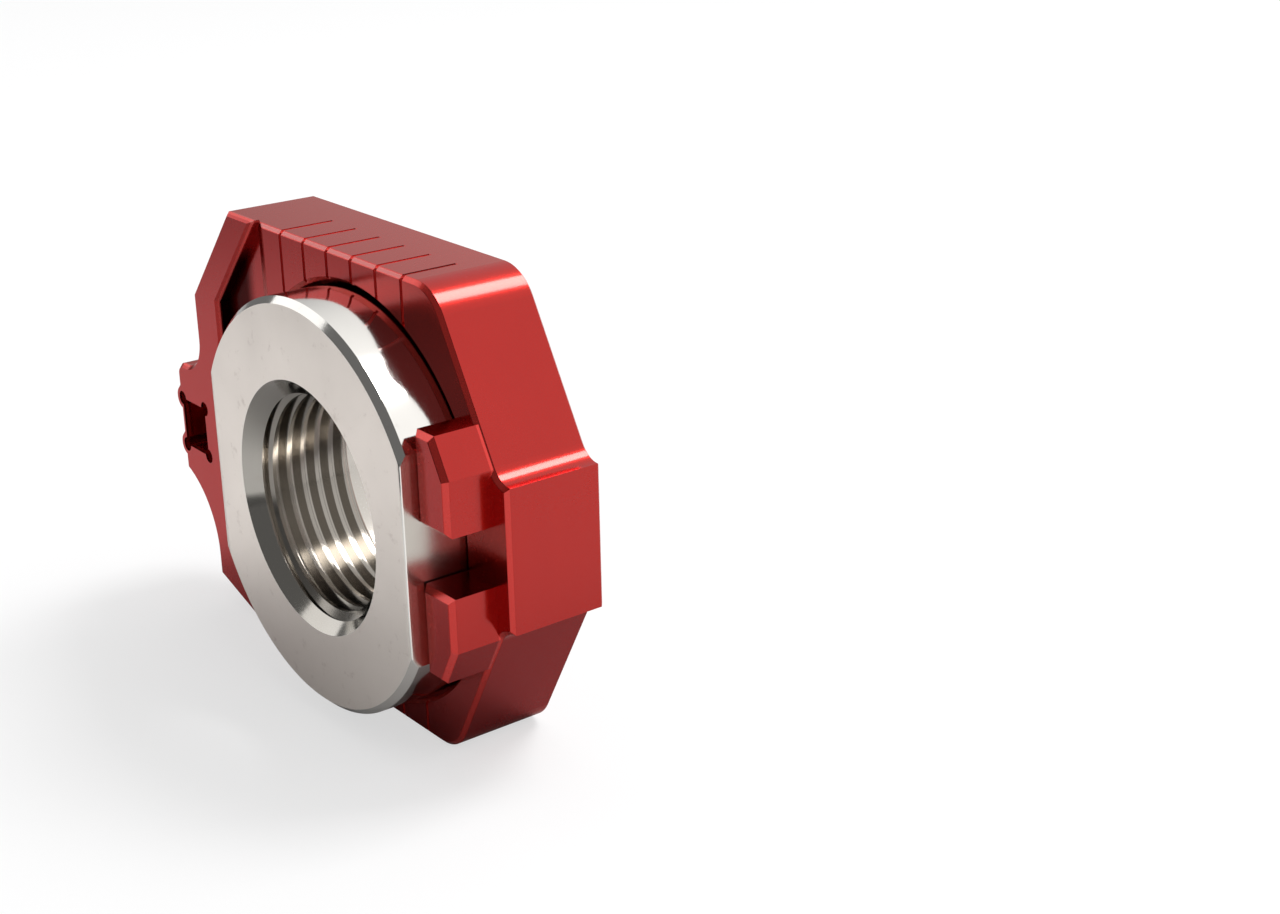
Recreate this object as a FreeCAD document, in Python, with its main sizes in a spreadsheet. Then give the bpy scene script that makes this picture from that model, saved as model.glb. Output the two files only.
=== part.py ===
import FreeCAD, Part
import math
import os

import Sketcher

# Motorcycle chain adjuster: an anodised aluminium axle block that slides in the swingarm's axle slot,
# with the flanged seat that holds the steel axle nut still while the axle is turned.
#
# Frame, in millimetres: the origin is on the axle's axis, in the plane of the flat back face.
# +X points at the plain end of the block, -X at the end with the adjuster screw's boss.
# -Y is the side of the nut, and +Z is up: the block stands on its long lower edge.
# The block is drawn about the middle between its long edges, then raised until the axis is at height 0.

# Driving sizes. Each one is set by itself, and the rest of the model follows it.
SIZES = [
    # Plate of the block
    ("plate_thickness", 9.7, "from the back face to the front face round the nut"),
    ("edge_wall", 1.45, "wall between the nut's seat and the lower long edge"),
    ("axis_drop", 0.65, "axle's axis, under the middle of the block"),
    ("slant_wall", 2.54, "wall between the nut's seat and the lower slanted side"),
    ("tab_fillet", 2.5, "concave radius between a slanted side and the end tab"),
    ("slant_angle", 29.3, "slanted sides, in degrees from upright"),
    ("crown_radius", 4.5, "convex radius between a long edge and a slanted side"),
    # Flange at the adjuster end
    ("flange_reach", 31.05, "from the axle's axis to the flange's upright end face"),
    ("flange_proud", 0.2, "height of the flange over the plate"),
    ("flange_top_width", 5.1, "width of the flange along the upper long edge"),
    ("flange_side_width", 5.1, "width of the flange beside its end face"),
    ("flange_sweep_half", 8.15, "half the height of the hollowed inner wall of the flange"),
    ("valley_depth", 1.1, "hollow beside the flange, under the front of the plate"),
    ("valley_gap", 1.8, "hollow, from the flange's upper inner corner to the front of the plate"),
    ("valley_ramp", 2.9, "slope between the hollow and the front of the plate"),
    ("upper_corner_run", 8.95, "upper slanted corner, along the block"),
    ("upper_corner_drop", 9.95, "upper slanted corner, in height"),
    ("lower_corner_run", 8.95, "lower slanted corner, along the block"),
    ("lower_corner_rise", 2.9, "lower slanted corner, in height"),
    # Boss of the adjuster screw
    ("boss_flat", 0.6, "straight top of the boss, between its hollow and its rounded corner"),
    ("boss_top", 3.4, "upper side of the boss, over the middle of the block"),
    ("boss_bottom", 8.6, "lower corner of the boss, under the middle of the block"),
    ("boss_round", 1.3, "radius of the upper corner of the boss"),
    ("upper_scallop_radius", 3.7, "tight hollow over the boss"),
    ("lower_scallop_drop", 8.0, "height of the long hollow under the boss"),
    ("seat_wall", 0.7, "wall between the end of the boss and the screw seat"),
    ("seat_length", 4.9, "screw seat, along the block"),
    ("seat_height", 5.2, "screw seat, in height"),
    ("seat_drop", 3.1, "middle of the screw seat, under the middle of the block"),
    ("seat_depth", 6.5, "screw seat, from the front of the flange"),
    ("relief_radius", 0.75, "round relief in each corner of the screw seat"),
    ("lobe_wall", 0.85, "wall left round the two outer reliefs"),
    # Seat of the nut and bore of the axle
    ("recess_depth", 5.0, "seat of the nut, from the front of the plate"),
    ("nut_round_gap", 0.35, "clearance round the nut"),
    ("nut_flat_gap", 0.25, "clearance between a flat of the nut and the lugs"),
    ("axle_bore_diameter", 25.4, "bore that the axle runs through"),
    # Lugs that hold a flat of the nut
    ("lug_length", 4.5, "lugs, along the block"),
    ("lug_setback", 2.2, "end of the lugs, behind the plain end face"),
    ("lug_gap", 5.5, "slot between the two lugs"),
    ("lug_rise", 3.32, "outer side of a lug, past the start of the slanted side"),
    ("lug_height", 4.6, "lugs, over the plate"),
    ("lug_inset", 0.1, "lugs, behind the slanted side of the plate"),
    # Graduations of the chain adjustment
    ("groove_start", 11.85, "first graduation, from the axle's axis towards the boss"),
    ("groove_pitch", 4.2, "spacing of the graduations"),
    ("groove_count", 6, "graduations on each long edge"),
    ("groove_width", 0.45, "width of a graduation"),
    ("groove_depth", 0.25, "depth of a graduation"),
    ("groove_run", 5.6, "graduation on a long edge, from the front face"),
    ("groove_fade", 0.6, "sloping run-out at the far end of a graduation"),
    # Broken edges of the block
    ("front_edge", 0.4, "chamfer round the front of plate and flange"),
    ("back_edge", 0.2, "chamfer round the back face and the back of the axle bore"),
    ("recess_edge", 0.4, "chamfer round the seat of the nut"),
    ("bore_edge", 0.5, "chamfer where the axle bore opens into the nut's seat"),
    ("lug_edge", 0.5, "chamfer round the front of the lugs"),
    # Axle nut
    ("nut_diameter", 39.1, "round sides of the nut"),
    ("nut_flats", 33.7, "across the two flats of the nut"),
    ("nut_thickness", 10.9, "nut, from its seat to its front"),
    ("nut_edge", 0.6, "turned chamfer round both faces of the nut"),
    ("nut_flat_edge", 0.35, "chamfer along the flats of the nut"),
    ("thread_bore_diameter", 20.4, "crests of the M22 x 1.5 thread"),
    ("countersink_depth", 1.8, "countersink of the thread at both faces, at 45 degrees"),
]

# Positions that follow from the driving sizes.
POSITIONS = [
    ("recess_radius", "=nut_diameter / 2 + nut_round_gap"),
    ("recess_flat", "=nut_flats / 2 + nut_flat_gap"),
    ("half_height", "=recess_radius + edge_wall + axis_drop"),
    ("end_reach", "=recess_flat + lug_length + lug_setback"),
    ("boss_reach", "=flange_reach + upper_scallop_radius + boss_flat + boss_round"),
    ("touch_length", "=end_reach - tab_fillet * cos(slant_angle)"),
    ("slant_distance", "=recess_radius + slant_wall"),
    ("touch_height", "=axis_drop + (slant_distance - touch_length * cos(slant_angle))"
                     " / sin(slant_angle)"),
    ("tab_half_height", "=touch_height - tab_fillet + tab_fillet * sin(slant_angle)"),
    ("crown_length", "=touch_length - (half_height - touch_height) * tan(slant_angle)"),
    ("upper_corner", "=-flange_reach + upper_corner_run"),
    ("upper_shoulder", "=half_height - upper_corner_drop"),
    ("lower_corner", "=-flange_reach + lower_corner_run"),
    ("lower_shoulder", "=-half_height + lower_corner_rise"),
    ("flange_end", "=-flange_reach"),
    ("flange_top_inner", "=upper_corner + flange_top_width"),
    ("flange_side_inner", "=-flange_reach + flange_side_width"),
    ("inner_shoulder", "=half_height - (flange_top_inner - flange_side_inner)"
                       " * upper_corner_drop / upper_corner_run"),
    ("flange_sweep_radius", "=sqrt(flange_side_inner ^ 2 + flange_sweep_half ^ 2)"),
    ("flange_height", "=plate_thickness + flange_proud"),
    ("plate_face", "=-plate_thickness"),
    ("plate_clear", "=-plate_thickness - front_edge"),
    ("valley_floor", "=-plate_thickness + valley_depth"),
    ("valley_end", "=flange_top_inner + valley_gap"),
    ("valley_foot", "=valley_end - valley_ramp"),
    ("valley_clear", "=-boss_reach"),
    ("boss_end", "=-boss_reach"),
    ("boss_round_length", "=-boss_reach + boss_round"),
    ("boss_round_height", "=boss_top - boss_round"),
    ("scallop_length", "=-flange_reach - upper_scallop_radius"),
    ("scallop_height", "=boss_top + upper_scallop_radius"),
    ("boss_foot", "=-boss_bottom"),
    ("sweep_foot", "=-boss_bottom - lower_scallop_drop"),
    ("boss_proud", "=boss_reach - flange_reach"),
    ("lower_scallop_radius", "=(boss_proud ^ 2 + lower_scallop_drop ^ 2) / (2 * boss_proud)"),
    ("seat_outer", "=-boss_reach + seat_wall"),
    ("seat_inner", "=seat_outer + seat_length"),
    ("seat_top", "=-seat_drop + seat_height / 2"),
    ("seat_bottom", "=-seat_drop - seat_height / 2"),
    ("lobe_radius", "=relief_radius + lobe_wall"),
    ("recess_flat_end", "=sqrt(recess_radius ^ 2 - recess_flat ^ 2)"),
    ("recess_floor", "=plate_thickness - recess_depth"),
    ("lug_end", "=recess_flat + lug_length"),
    ("lug_inner", "=lug_gap / 2"),
    ("lug_side", "=touch_length - lug_inset / cos(slant_angle)"),
    ("lug_knee", "=touch_height + (lug_side - lug_end) / tan(slant_angle)"),
    ("lug_top", "=touch_height + lug_rise"),
    ("lug_top_end", "=lug_side - lug_rise * tan(slant_angle)"),
    ("lug_span", "=recess_depth + lug_height"),
    ("groove_plane", "=-groove_start"),
    ("groove_clear", "=-plate_thickness - groove_fade"),
    ("groove_face", "=-plate_thickness + groove_depth"),
    ("groove_end", "=-plate_thickness + groove_run"),
    ("groove_fade_end", "=groove_end + groove_fade"),
    ("groove_bed", "=half_height - groove_depth"),
    ("groove_over", "=half_height + groove_fade"),
    ("groove_foot", "=sqrt(recess_radius ^ 2 - groove_start ^ 2) - recess_edge - groove_fade"),
    ("upper_groove_foot", "=groove_foot - axis_drop"),
    ("lower_groove_foot", "=groove_foot + axis_drop"),
    ("groove_reach", "=groove_pitch * (groove_count - 1)"),
    ("bore_radius", "=axle_bore_diameter / 2"),
    ("nut_radius", "=nut_diameter / 2"),
    ("nut_face_radius", "=nut_diameter / 2 - nut_edge"),
    ("nut_back", "=-recess_floor"),
    ("nut_back_edge", "=nut_back - nut_edge"),
    ("nut_front", "=nut_back - nut_thickness"),
    ("nut_front_edge", "=nut_front + nut_edge"),
    ("thread_radius", "=thread_bore_diameter / 2"),
    ("countersink_radius", "=thread_radius + countersink_depth"),
    ("thread_back", "=nut_back - countersink_depth"),
    ("thread_front", "=nut_front + countersink_depth"),
    ("flat_half", "=nut_flats / 2"),
    ("flat_clear", "=nut_diameter / 2 + nut_edge"),
]

POINT_TOLERANCE = 1e-4

doc = FreeCAD.newDocument("chain_adjuster")
sheet = doc.addObject("Spreadsheet::Sheet", "Sizes")
row = 0
for alias, value, meaning in SIZES:
    row += 1
    sheet.set("A%d" % row, alias)
    sheet.set("B%d" % row, str(value))
    sheet.set("C%d" % row, meaning)
    sheet.setAlias("B%d" % row, alias)
for alias, formula in POSITIONS:
    row += 1
    sheet.set("A%d" % row, alias)
    sheet.setAlias("B%d" % row, alias)
for number, (alias, formula) in enumerate(POSITIONS):
    sheet.set("B%d" % (len(SIZES) + number + 1), formula)
doc.recompute()


def size(name):
    """Value of a cell; a leading minus sign turns it round."""
    if name.startswith("-"):
        return -float(sheet.get(name[1:]))
    return float(sheet.get(name))


def bound(name):
    """The same cell as an expression for a property or a constraint."""
    if name.startswith("-"):
        return "-Sizes." + name[1:]
    return "Sizes." + name


def origin_feature(body, role):
    """The origin plane or axis of a body with that role."""
    for feature in body.Origin.OriginFeatures:
        if feature.Role == role:
            return feature
    raise ValueError(role)


def new_sketch(body, name, role, offset=None, raised=None):
    """A sketch on an origin plane of its body, moved out of the plane or raised in it by a named size."""
    sketch = body.newObject("Sketcher::SketchObject", name)
    sketch.AttachmentSupport = [(origin_feature(body, role), "")]
    sketch.MapMode = "FlatFace"
    if offset is not None:
        sketch.setExpression(".AttachmentOffset.Base.z", bound(offset))
    if raised is not None:
        sketch.setExpression(".AttachmentOffset.Base.y", bound(raised))
    return sketch


def pin_point(sketch, geometry, end, place, before=None):
    """Holds one end of a sketch line at two named ordinates, or level or upright with the last point."""
    kinds = (("DistanceX", "Vertical"), ("DistanceY", "Horizontal"))
    for axis, (kind, alignment) in enumerate(kinds):
        if before is not None and before[axis] == place[axis]:
            sketch.addConstraint(Sketcher.Constraint(alignment, geometry))
            continue
        value = size(place[axis])
        index = sketch.addConstraint(Sketcher.Constraint(kind, -1, 1, geometry, end, value))
        sketch.setExpression("Constraints[%d]" % index, bound(place[axis]))


def arc_between(start, finish, radius, bulge):
    """The shorter arc between two points; bulge is 1 to the left of the way there, -1 to the right."""
    half = (finish - start) * 0.5
    side = FreeCAD.Vector(-half.y, half.x, 0)
    side.normalize()
    rise = math.sqrt(max(radius * radius - half.Length * half.Length, 0.0))
    centre = start + half - side * (rise * bulge)
    # The arc is stored counterclockwise, so a way that bulges to the left runs from its end to its start.
    first = (finish if bulge > 0 else start) - centre
    last = (start if bulge > 0 else finish) - centre
    circle = Part.Circle(centre, FreeCAD.Vector(0, 0, 1), radius)
    return Part.ArcOfCircle(circle, math.atan2(first.y, first.x), math.atan2(last.y, last.x))


def draw_outline(sketch, places, arcs=None):
    """Draws a closed outline through named points; arcs maps a side's number to (radius, bulge)."""
    arcs = arcs or {}
    points = [FreeCAD.Vector(size(a), size(b), 0) for a, b in places]
    count = len(points)
    ids = []
    for number in range(count):
        start = points[number]
        finish = points[(number + 1) % count]
        if number in arcs:
            radius, bulge = arcs[number]
            curve = arc_between(start, finish, size(radius), bulge)
            ids.append(sketch.addGeometry(curve, False))
        else:
            ids.append(sketch.addGeometry(Part.LineSegment(start, finish), False))
    ends = [(2, 1) if number in arcs and arcs[number][1] > 0 else (1, 2) for number in range(count)]
    for number in range(count):
        after = (number + 1) % count
        joint = Sketcher.Constraint(
            "Coincident", ids[number], ends[number][1], ids[after], ends[after][0])
        sketch.addConstraint(joint)
    pin_point(sketch, ids[0], ends[0][0], places[0])
    for number in range(count):
        if number in arcs:
            index = sketch.addConstraint(
                Sketcher.Constraint("Radius", ids[number], size(arcs[number][0])))
            sketch.setExpression("Constraints[%d]" % index, bound(arcs[number][0]))
        if number < count - 1:
            before = None if number in arcs else places[number]
            pin_point(sketch, ids[number], ends[number][1], places[number + 1], before)
    return ids


def draw_circle(sketch, place, radius):
    """Draws a circle at a named place, or at the sketch's origin where place is None."""
    centre = FreeCAD.Vector(0, 0, 0)
    if place is not None:
        centre = FreeCAD.Vector(size(place[0]), size(place[1]), 0)
    ident = sketch.addGeometry(Part.Circle(centre, FreeCAD.Vector(0, 0, 1), size(radius)), False)
    if place is None:
        sketch.addConstraint(Sketcher.Constraint("Coincident", ident, 3, -1, 1))
    else:
        pin_point(sketch, ident, 3, place)
    index = sketch.addConstraint(Sketcher.Constraint("Radius", ident, size(radius)))
    sketch.setExpression("Constraints[%d]" % index, bound(radius))
    return ident


def add_pad(body, name, sketch, length):
    """Pads a sketch along its normal by a named size."""
    pad = body.newObject("PartDesign::Pad", name)
    pad.Profile = sketch
    pad.setExpression("Length", bound(length))
    finish_feature(body, pad, 1)
    return pad


def add_pocket(body, name, sketch, length=None, turned=False, midplane=False):
    """Cuts a sketch against its normal by a named size, or right through where there is none."""
    pocket = body.newObject("PartDesign::Pocket", name)
    pocket.Profile = sketch
    pocket.Reversed = turned
    pocket.Midplane = midplane
    if length is None:
        pocket.Type = "ThroughAll"
    else:
        pocket.setExpression("Length", bound(length))
    finish_feature(body, pocket, -1)
    return pocket


def dress_edges(body, kind, name, wanted, amount):
    """Rounds or chamfers the edges of the body whose ends and middle all pass the test."""
    base = body.Tip
    names = []
    for number, edge in enumerate(base.Shape.Edges):
        first, last = edge.ParameterRange
        middle = 0.5 * (first + last)
        if all(wanted(edge.valueAt(value)) for value in (first, middle, last)):
            names.append("Edge%d" % (number + 1))
    if not names:
        raise ValueError(name + " finds no edge")
    feature = body.newObject("PartDesign::" + kind, name)
    feature.Base = (base, names)
    feature.setExpression("Radius" if kind == "Fillet" else "Size", bound(amount))
    finish_feature(body, feature, 0)
    return feature


volumes = {}


def finish_feature(body, feature, sign):
    """Makes the feature the body's tip and checks that it adds (1) or removes (-1) material."""
    body.Tip = feature
    doc.recompute()
    before = volumes.get(body.Name, 0.0)
    after = body.Shape.Volume
    if sign != 0 and (after - before) * sign <= 0:
        raise ValueError("%s changes nothing: %.3f to %.3f" % (feature.Name, before, after))
    volumes[body.Name] = after
    print("%-22s %10.2f mm3" % (feature.Name, after))


def near(value, target):
    """Whether two lengths are the same."""
    return abs(value - target) < POINT_TOLERANCE


# Plate of the block
block = doc.addObject("PartDesign::Body", "AxleBlock")
block.Label = "axle_block"
plate_outline = new_sketch(block, "PlateOutline", "XZ_Plane")
draw_outline(
    plate_outline,
    [
        ("upper_corner", "half_height"),
        ("crown_length", "half_height"),
        ("touch_length", "touch_height"),
        ("end_reach", "tab_half_height"),
        ("end_reach", "-tab_half_height"),
        ("touch_length", "-touch_height"),
        ("crown_length", "-half_height"),
        ("lower_corner", "-half_height"),
        ("flange_end", "lower_shoulder"),
        ("flange_end", "upper_shoulder"),
    ],
    {2: ("tab_fillet", -1), 4: ("tab_fillet", -1)},
)
add_pad(block, "Plate", plate_outline, "plate_thickness")
crown = size("crown_length")
dress_edges(block, "Fillet", "Crowns", lambda p: near(p.x, crown), "crown_radius")
plate_front = -size("plate_thickness")
dress_edges(block, "Chamfer", "PlateEdge", lambda p: near(p.y, plate_front), "front_edge")

# Seat of the nut, with the bore of the axle
recess_outline = new_sketch(block, "RecessOutline", "XZ_Plane", "plate_thickness", "-axis_drop")
radius = size("recess_radius")
flat = size("recess_flat")
flat_end = size("recess_flat_end")
turn = math.atan2(flat_end, flat)
circle = Part.Circle(FreeCAD.Vector(0, 0, 0), FreeCAD.Vector(0, 0, 1), radius)
sweep = Part.ArcOfCircle(circle, turn, 2.0 * math.pi - turn)
recess_outline.addGeometry(sweep, False)
recess_outline.addGeometry(
    Part.LineSegment(FreeCAD.Vector(flat, -flat_end, 0), FreeCAD.Vector(flat, flat_end, 0)), False)
recess_outline.addConstraint(Sketcher.Constraint("Coincident", 0, 3, -1, 1))
recess_outline.addConstraint(Sketcher.Constraint("Coincident", 0, 2, 1, 1))
recess_outline.addConstraint(Sketcher.Constraint("Coincident", 0, 1, 1, 2))
recess_outline.addConstraint(Sketcher.Constraint("Vertical", 1))
constraint = recess_outline.addConstraint(Sketcher.Constraint("Radius", 0, radius))
recess_outline.setExpression("Constraints[%d]" % constraint, bound("recess_radius"))
constraint = recess_outline.addConstraint(Sketcher.Constraint("DistanceX", -1, 1, 1, 1, flat))
recess_outline.setExpression("Constraints[%d]" % constraint, bound("recess_flat"))
add_pocket(block, "Recess", recess_outline, "recess_depth")
drop = size("axis_drop")
dress_edges(
    block, "Chamfer", "RecessEdge",
    lambda p: near(p.y, plate_front) and math.hypot(p.x, p.z + drop) < radius + POINT_TOLERANCE,
    "recess_edge")
bore_outline = new_sketch(block, "BoreOutline", "XZ_Plane", raised="-axis_drop")
draw_circle(bore_outline, None, "bore_radius")
add_pocket(block, "AxleBore", bore_outline, turned=True)
bore = size("bore_radius")
seat_floor = -size("recess_floor")
dress_edges(
    block, "Chamfer", "BoreEdge",
    lambda p: near(p.y, seat_floor) and near(math.hypot(p.x, p.z + drop), bore), "bore_edge")

# Hollow beside the flange, which slopes up to the front of the plate
valley_outline = new_sketch(block, "ValleyOutline", "XY_Plane")
draw_outline(
    valley_outline,
    [
        ("valley_end", "plate_face"),
        ("valley_foot", "valley_floor"),
        ("valley_clear", "valley_floor"),
        ("valley_clear", "plate_clear"),
        ("valley_end", "plate_clear"),
    ],
)
add_pocket(block, "Valley", valley_outline, midplane=True)

# Flange with the boss of the adjuster screw
flange_outline = new_sketch(block, "FlangeOutline", "XZ_Plane")
draw_outline(
    flange_outline,
    [
        ("flange_top_inner", "half_height"),
        ("upper_corner", "half_height"),
        ("flange_end", "upper_shoulder"),
        ("flange_end", "scallop_height"),
        ("scallop_length", "boss_top"),
        ("boss_round_length", "boss_top"),
        ("boss_end", "boss_round_height"),
        ("boss_end", "boss_foot"),
        ("flange_end", "sweep_foot"),
        ("flange_end", "lower_shoulder"),
        ("lower_corner", "-half_height"),
        ("flange_top_inner", "-half_height"),
        ("flange_side_inner", "-inner_shoulder"),
        ("flange_side_inner", "-flange_sweep_half"),
        ("flange_side_inner", "flange_sweep_half"),
        ("flange_side_inner", "inner_shoulder"),
    ],
    {
        3: ("upper_scallop_radius", 1),
        5: ("boss_round", -1),
        7: ("lower_scallop_radius", 1),
        13: ("flange_sweep_radius", 1),
    },
)
add_pad(block, "Flange", flange_outline, "flange_height")
lobe_outline = new_sketch(block, "LobeOutline", "XZ_Plane")
draw_circle(lobe_outline, ("seat_outer", "seat_top"), "lobe_radius")
draw_circle(lobe_outline, ("seat_outer", "seat_bottom"), "lobe_radius")
add_pad(block, "Lobes", lobe_outline, "flange_height")
flange_front = -size("flange_height")
dress_edges(block, "Chamfer", "FlangeEdge", lambda p: near(p.y, flange_front), "front_edge")
dress_edges(block, "Chamfer", "BackEdge", lambda p: near(p.y, 0.0), "back_edge")

# Two lugs that stand on the plate and hold a flat of the nut
lug_outline = new_sketch(block, "LugOutline", "XZ_Plane", "recess_floor")
draw_outline(
    lug_outline,
    [
        ("recess_flat", "lug_inner"),
        ("recess_flat", "lug_top"),
        ("lug_top_end", "lug_top"),
        ("lug_end", "lug_knee"),
        ("lug_end", "lug_inner"),
    ],
)
lug = add_pad(block, "Lug", lug_outline, "lug_span")
lugs = block.newObject("PartDesign::Mirrored", "Lugs")
lugs.Originals = [lug]
lugs.MirrorPlane = (origin_feature(block, "XY_Plane"), [""])
finish_feature(block, lugs, 1)
lug_front = plate_front - size("lug_height")
dress_edges(block, "Chamfer", "LugEdge", lambda p: near(p.y, lug_front), "lug_edge")

# Graduations over both long edges and down the front, to the seat of the nut
groove_outline = new_sketch(block, "GrooveOutline", "YZ_Plane", "groove_plane")
draw_outline(
    groove_outline,
    [
        ("groove_clear", "groove_over"),
        ("groove_fade_end", "groove_over"),
        ("groove_end", "groove_bed"),
        ("groove_face", "groove_bed"),
        ("groove_face", "upper_groove_foot"),
        ("groove_clear", "upper_groove_foot"),
    ],
)
draw_outline(
    groove_outline,
    [
        ("groove_clear", "-groove_over"),
        ("groove_fade_end", "-groove_over"),
        ("groove_end", "-groove_bed"),
        ("groove_face", "-groove_bed"),
        ("groove_face", "-lower_groove_foot"),
        ("groove_clear", "-lower_groove_foot"),
    ],
)
groove = add_pocket(block, "Groove", groove_outline, "groove_width", midplane=True)
grooves = block.newObject("PartDesign::LinearPattern", "Graduations")
grooves.Originals = [groove]
grooves.Direction = (origin_feature(block, "X_Axis"), [""])
grooves.setExpression("Length", bound("groove_reach"))
grooves.setExpression("Occurrences", bound("groove_count"))
finish_feature(block, grooves, -1)

# Seat of the adjuster screw, with a round relief in each corner
seat_outline = new_sketch(block, "SeatOutline", "XZ_Plane", "flange_height")
draw_outline(
    seat_outline,
    [
        ("seat_outer", "seat_bottom"),
        ("seat_outer", "seat_top"),
        ("seat_inner", "seat_top"),
        ("seat_inner", "seat_bottom"),
    ],
)
add_pocket(block, "ScrewSeat", seat_outline, "seat_depth")
relief_outline = new_sketch(block, "ReliefOutline", "XZ_Plane", "flange_height")
draw_circle(relief_outline, ("seat_outer", "seat_bottom"), "relief_radius")
draw_circle(relief_outline, ("seat_outer", "seat_top"), "relief_radius")
draw_circle(relief_outline, ("seat_inner", "seat_bottom"), "relief_radius")
draw_circle(relief_outline, ("seat_inner", "seat_top"), "relief_radius")
add_pocket(block, "ScrewSeatRelief", relief_outline, "seat_depth")
block.setExpression("Placement.Base.z", bound("axis_drop"))

# Axle nut: a turned ring with two milled flats
nut = doc.addObject("PartDesign::Body", "AxleNut")
nut.Label = "axle_nut"
nut_section = new_sketch(nut, "NutSection", "XY_Plane")
draw_outline(
    nut_section,
    [
        ("thread_radius", "thread_back"),
        ("thread_radius", "thread_front"),
        ("countersink_radius", "nut_front"),
        ("nut_face_radius", "nut_front"),
        ("nut_radius", "nut_front_edge"),
        ("nut_radius", "nut_back_edge"),
        ("nut_face_radius", "nut_back"),
        ("countersink_radius", "nut_back"),
    ],
)
turned = nut.newObject("PartDesign::Revolution", "TurnedRing")
turned.Profile = nut_section
turned.ReferenceAxis = (nut_section, ["V_Axis"])
turned.Angle = 360.0
finish_feature(nut, turned, 1)
flats_outline = new_sketch(nut, "FlatsOutline", "XZ_Plane")
for side in ("", "-"):
    draw_outline(
        flats_outline,
        [
            (side + "flat_half", "-flat_clear"),
            (side + "flat_half", "flat_clear"),
            (side + "flat_clear", "flat_clear"),
            (side + "flat_clear", "-flat_clear"),
        ],
    )
add_pocket(nut, "Flats", flats_outline, turned=True)
half_flats = size("flat_half")
nut_faces = (size("nut_back"), size("nut_front"))
dress_edges(
    nut, "Chamfer", "FlatsEdge",
    lambda p: near(abs(p.x), half_flats) and (near(p.y, nut_faces[0]) or near(p.y, nut_faces[1])),
    "nut_flat_edge")

# Every object and both shapes are checked before anything is written.
doc.recompute()
for item in doc.Objects:
    if "Invalid" in item.State or "Error" in item.State:
        raise ValueError(item.Name + " has failed")
os.makedirs("parts", exist_ok=True)
for body in (block, nut):
    if body.Shape.isNull() or not body.Shape.isValid() or len(body.Shape.Solids) != 1:
        raise ValueError(body.Label + " is not one valid solid")
for body in (block, nut):
    body.Shape.exportStep("parts/%s.step" % body.Label)
    print(body.Label, body.Shape.BoundBox)
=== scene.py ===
"""Motorcycle chain adjuster: a red anodised axle block with its axle nut, for a studio picture."""
from __future__ import annotations

import logging
import math
from dataclasses import dataclass
from enum import Enum
from typing import Callable, Iterable, Sequence

import bpy
import bmesh
from mathutils import Matrix, Vector

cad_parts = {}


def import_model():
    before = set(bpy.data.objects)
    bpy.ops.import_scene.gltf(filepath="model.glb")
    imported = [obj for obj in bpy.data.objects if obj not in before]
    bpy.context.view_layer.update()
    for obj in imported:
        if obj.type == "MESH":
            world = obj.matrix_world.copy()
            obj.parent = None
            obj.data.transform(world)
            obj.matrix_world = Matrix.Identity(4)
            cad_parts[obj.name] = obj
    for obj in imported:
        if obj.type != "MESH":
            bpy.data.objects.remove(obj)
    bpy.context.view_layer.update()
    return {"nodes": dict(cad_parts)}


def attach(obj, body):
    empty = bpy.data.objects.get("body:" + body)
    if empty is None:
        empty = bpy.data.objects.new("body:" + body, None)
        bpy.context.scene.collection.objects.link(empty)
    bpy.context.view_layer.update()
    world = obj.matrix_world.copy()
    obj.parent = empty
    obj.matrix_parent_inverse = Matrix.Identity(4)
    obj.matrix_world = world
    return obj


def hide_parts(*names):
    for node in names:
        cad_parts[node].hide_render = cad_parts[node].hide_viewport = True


LOG = logging.getLogger("chain_adjuster")
MM = 0.001
# A corner this near a plane lies in it, and corners this near each other are one.
IN_PLANE = 1e-6
MERGED = 1e-7
Colour = tuple[float, float, float]
Place = tuple[float, float, float]
Edge = tuple[float, float]
WHITE: Colour = (1.0, 1.0, 1.0)


class Slot(Enum):
    """Finishes of the nut, in the order of its material slots."""

    FACE = 0
    RIM = 1
    FLAT = 2
    THREAD = 3
    CONE = 4


class Element(Enum):
    """What a selection in edit mode is made of."""

    CORNER = "VERT"
    EDGE = "EDGE"


def linear(red: float, green: float, blue: float) -> Colour:
    """Turns a colour seen on a screen, 0 to 255, into the light it stands for.

    Args:
        red: Red as it is seen.
        green: Green as it is seen.
        blue: Blue as it is seen.

    Returns:
        The three linear values.
    """

    def one(value: float) -> float:
        """Linear light of one channel, by the usual curve of a screen."""
        share = value / 255.0
        return share / 12.92 if share <= 0.04045 else ((share + 0.055) / 1.055) ** 2.4

    return one(red), one(green), one(blue)


def grey(tone: float) -> Colour:
    """A plain grey of one linear tone."""
    return tone, tone, tone


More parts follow.
